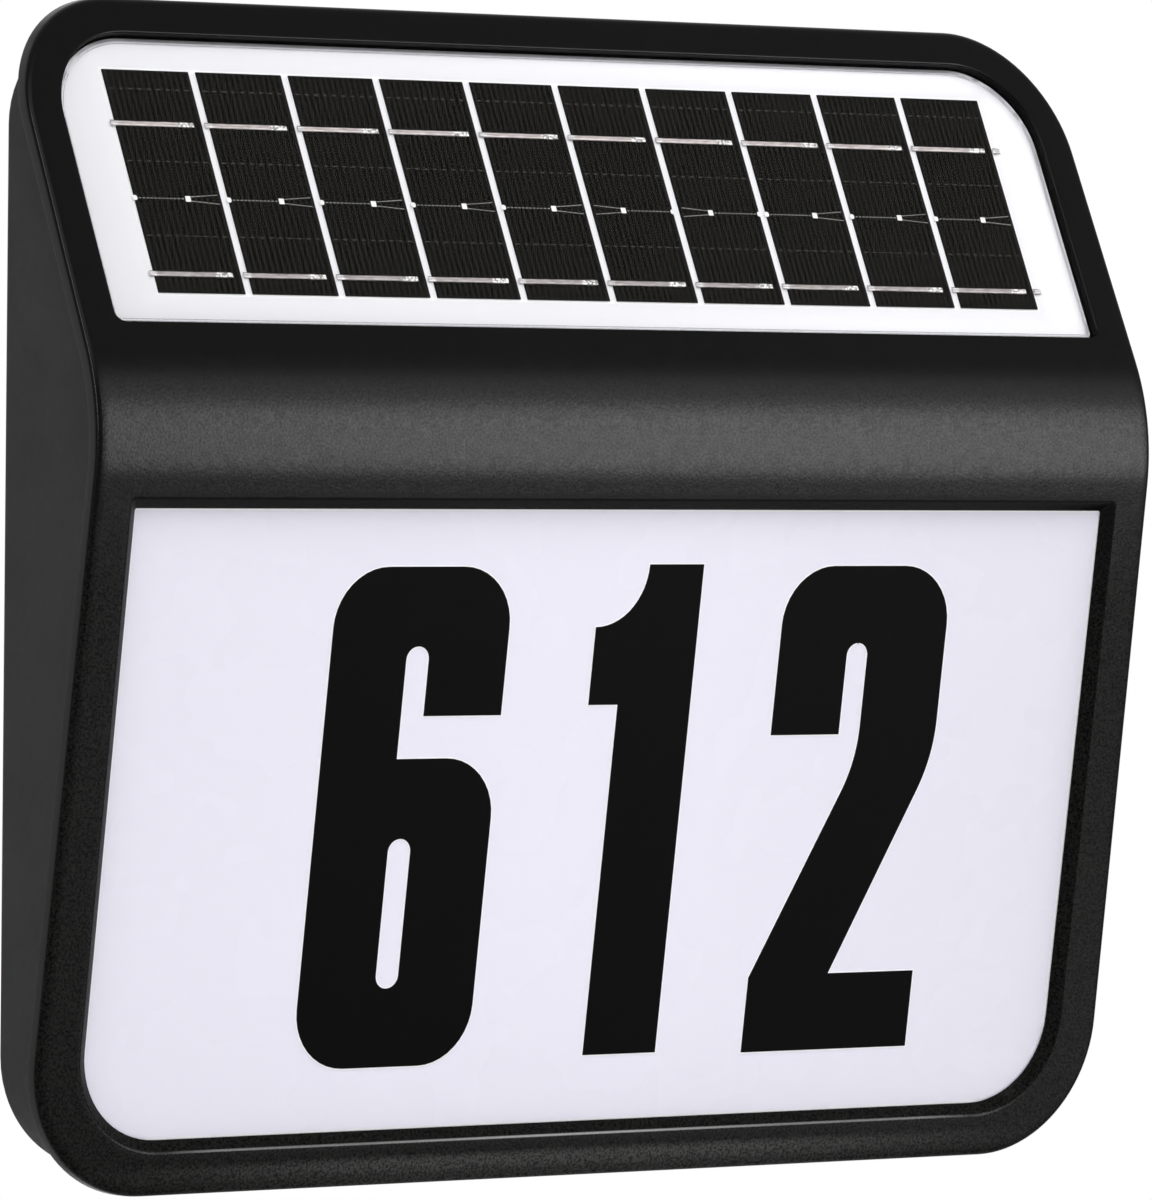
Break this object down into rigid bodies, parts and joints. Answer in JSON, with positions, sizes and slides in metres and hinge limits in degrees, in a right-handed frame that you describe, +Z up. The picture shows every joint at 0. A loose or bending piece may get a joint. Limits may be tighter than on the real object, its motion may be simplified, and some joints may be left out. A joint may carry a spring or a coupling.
{
  "type": "illuminated house number sign",
  "caption": "Solar house number sign for a wall: folded black cover with a solar panel above a white edge-lit number panel, slim housing with a cell, board and push switch",
  "frame": {"origin": "middle of the flat back of the housing, where it rests on the wall", "axes": "+X to the viewer's right, +Y into the wall, +Z up; the lit face looks towards -Y"},
  "size_m": [0.2032, 0.0323, 0.1808],
  "materials": {
    "cover_plastic": "fine grained moulding",
    "housing_plastic": "smooth satin moulding",
    "gasket_rubber": "soft closed cell cord",
    "screw_steel": "plated",
    "plug_rubber": "matt",
    "white_laminate": "smooth white under a clear sheet",
    "foam_tape": "foam",
    "cell_silicon": "dark coated silicon with fine printed fingers",
    "ribbon_tin": "tinned strip",
    "clear_sheet": "clear and smooth",
    "sign_acrylic": "opal, satin",
    "guide_acrylic": "clear acrylic",
    "reflector_film": "white film",
    "plate_aluminium": "mill finish",
    "board_laminate": "solder mask",
    "lamp_phosphor": "phosphor lens in a white body",
    "chip_black": "moulded case",
    "plug_nylon": "natural nylon",
    "battery_sleeve": "shrink sleeve",
    "holder_plastic": "moulded",
    "contact_nickel": "nickel plated",
    "wire_insulation": "flexible insulation",
    "switch_plastic": "moulded",
    "button_plastic": "moulded"
  },
  "bodies": {
    "sign": {"front_cover": "cover_plastic", "rear_housing": "housing_plastic", "housing_gasket": "gasket_rubber", "cover_screws": "screw_steel", "screw_plugs": "plug_rubber", "vent_plug": "plug_rubber", "solar_backsheet": "white_laminate", "panel_adhesive": "foam_tape", "solar_cells": "cell_silicon", "cell_ribbons": "ribbon_tin", "solar_cover_sheet": "clear_sheet", "sign_panel": "sign_acrylic", "sign_panel_tape": "foam_tape", "light_guide_plate": "guide_acrylic", "reflector_sheet": "reflector_film", "light_plate": "plate_aluminium", "light_plate_screws": "screw_steel", "lamp_board": "board_laminate", "lamps": "lamp_phosphor", "lamp_resistors": "chip_black", "lamp_plug": "plug_nylon", "battery_cell": "battery_sleeve", "battery_holder": "holder_plastic", "battery_tape": "foam_tape", "battery_contacts": "contact_nickel", "control_board": "board_laminate", "board_screws": "screw_steel", "board_chips": "chip_black", "board_parts": "chip_black", "board_plugs": "plug_nylon", "panel_leads": "wire_insulation", "lamp_leads": "wire_insulation", "battery_leads": "wire_insulation", "switch_leads": "wire_insulation", "switch_body": "switch_plastic", "switch_nut": "switch_plastic"},
    "power_button": {"switch_button": "button_plastic"}
  },
  "joints": [
    {"name": "power_button_press", "type": "slide", "parent": "sign", "child": "power_button", "axis": [0, -1, 0], "range_m": [0, 0.002], "stiffness_N_per_m": 300}
  ]
}
